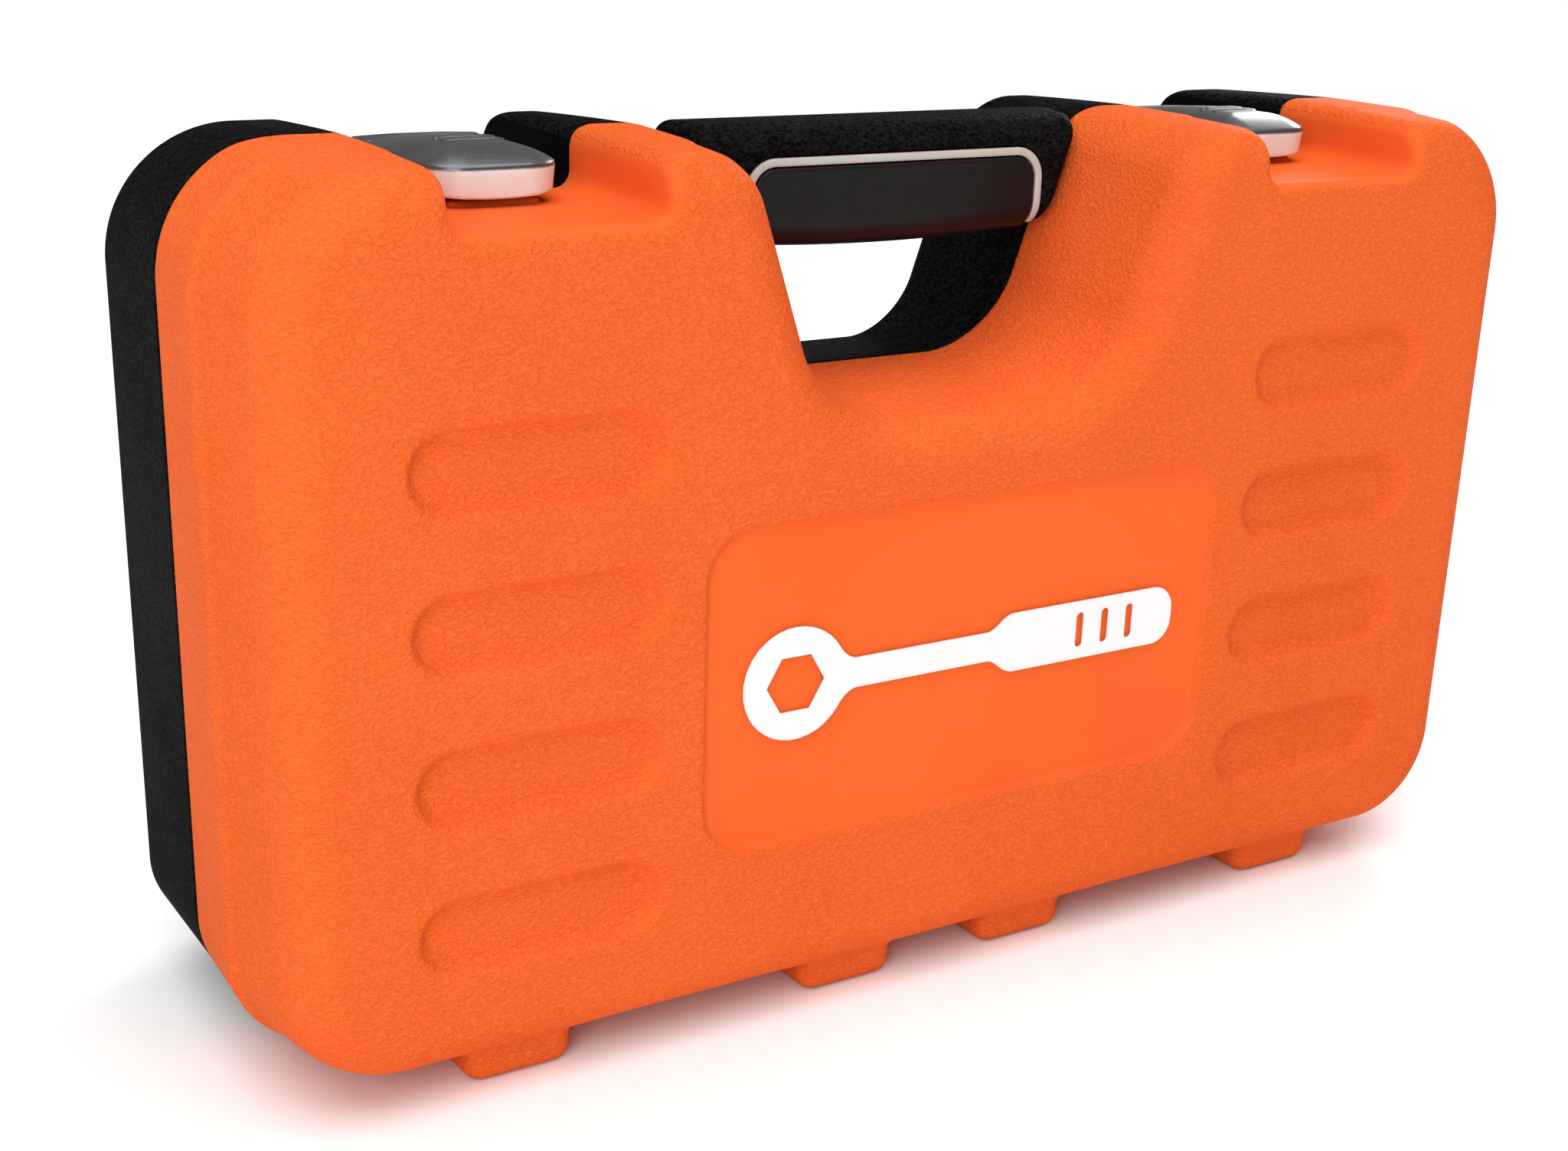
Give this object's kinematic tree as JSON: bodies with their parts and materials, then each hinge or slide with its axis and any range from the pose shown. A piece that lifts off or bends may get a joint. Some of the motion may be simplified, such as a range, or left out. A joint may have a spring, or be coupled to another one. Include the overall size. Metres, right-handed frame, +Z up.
{
  "type": "socket wrench set in case",
  "caption": "Two-shell moulded carrying case with lift latches and a top handle, holding a half-inch drive ratchet, sockets and bars in a tray.",
  "frame": {"origin": "bottom centre of the standing case: on the ground plane, midway in X and at the parting plane in Y", "axes": "+X to the right seen from the front, -Y towards the front (orange) face, +Z up"},
  "size_m": [0.406, 0.122, 0.243],
  "materials": {
    "orange_plastic": "fine leather-like moulded grain",
    "black_plastic": "fine leather-like moulded grain",
    "white_emblem": "smooth raised print",
    "liner_plastic": "embossed",
    "tray_plastic": "fine grain",
    "latch_metal": "satin metallic silver lacquer",
    "pin_steel": "drawn wire",
    "handle_plastic": "fine grain, smooth inside the grip frame",
    "grip_rubber": "smooth soft-touch",
    "trim_plastic": "smooth light grey line",
    "socket_chrome": "satin chrome",
    "tool_chrome": "polished chrome",
    "tool_steel": "machined",
    "ratchet_grip_rubber": "moulded grip",
    "sleeve_rubber": "plain",
    "lever_plastic": "moulded"
  },
  "bodies": {
    "base": {"back_shell": "black_plastic", "tool_tray": "tray_plastic", "socket_rack": "tray_plastic", "ratchet_well": "tray_plastic", "long_bar_well": "tray_plastic", "short_bar_well": "tray_plastic", "adapter_well": "tray_plastic", "plug_socket_well": "tray_plastic", "joint_well": "tray_plastic", "latch_pin_left": "pin_steel", "hinge_pin_left": "pin_steel", "latch_pin_right": "pin_steel", "hinge_pin_right": "pin_steel", "handle_core": "handle_plastic", "grip_pad_front": "grip_rubber", "grip_pad_back": "grip_rubber", "grip_trim_front": "trim_plastic", "grip_trim_back": "trim_plastic", "socket_32": "socket_chrome", "socket_27": "socket_chrome", "socket_24": "socket_chrome", "socket_22": "socket_chrome", "socket_19": "socket_chrome", "socket_17": "socket_chrome", "socket_15": "socket_chrome", "socket_14": "socket_chrome", "socket_13": "socket_chrome", "socket_12": "socket_chrome", "socket_11": "socket_chrome", "socket_10": "socket_chrome", "ratchet_body": "tool_chrome", "ratchet_grip": "ratchet_grip_rubber", "ratchet_cover_plate": "tool_steel", "extension_bar_long": "tool_chrome", "extension_bar_short": "tool_chrome", "spark_plug_socket": "tool_chrome", "spark_plug_sleeve": "sleeve_rubber", "drive_adapter": "tool_chrome", "universal_joint_input": "tool_chrome"},
    "lid": {"front_shell": "orange_plastic", "label_emblem": "white_emblem", "lid_liner": "liner_plastic"},
    "latch_left": {"latch_left": "latch_metal"},
    "latch_right": {"latch_right": "latch_metal"},
    "ratchet_drive": {"ratchet_drive": "tool_steel"},
    "ratchet_button": {"ratchet_release_button": "tool_steel"},
    "ratchet_lever": {"ratchet_reversing_lever": "lever_plastic"},
    "universal_cross": {"universal_joint_cross": "tool_steel"},
    "universal_output": {"universal_joint_output": "tool_chrome"}
  },
  "joints": [
    {"name": "lid_hinge", "type": "hinge", "parent": "base", "child": "lid", "pos_m": [0, 0, 0.0044], "axis": [1, 0, 0], "range_deg": [0, 180]},
    {"name": "latch_left_hinge", "type": "hinge", "parent": "base", "child": "latch_left", "pos_m": [-0.125, 0.03, 0.2312], "axis": [-1, 0, 0], "range_deg": [0, 95]},
    {"name": "latch_right_hinge", "type": "hinge", "parent": "base", "child": "latch_right", "pos_m": [0.125, 0.03, 0.2312], "axis": [-1, 0, 0], "range_deg": [0, 95]},
    {"name": "ratchet_drive_spin", "type": "hinge", "parent": "base", "child": "ratchet_drive", "pos_m": [-0.15, 0.03, 0.134], "axis": [0, 1, 0], "continuous": true},
    {"name": "ratchet_button_press", "type": "slide", "parent": "base", "child": "ratchet_button", "axis": [0, 1, 0], "range_m": [0, 0.002], "stiffness_N_per_m": 500},
    {"name": "ratchet_lever_turn", "type": "hinge", "parent": "base", "child": "ratchet_lever", "pos_m": [-0.15, 0.005, 0.134], "axis": [0, 1, 0], "range_deg": [0, 40]},
    {"name": "universal_cross_tilt", "type": "hinge", "parent": "base", "child": "universal_cross", "pos_m": [0.128, 0.017, 0.184], "axis": [0, 1, 0], "range_deg": [-20, 20]},
    {"name": "universal_output_tilt", "type": "hinge", "parent": "universal_cross", "child": "universal_output", "pos_m": [0.128, 0.017, 0.184], "axis": [0, 0, 1], "range_deg": [-20, 0]}
  ]
}
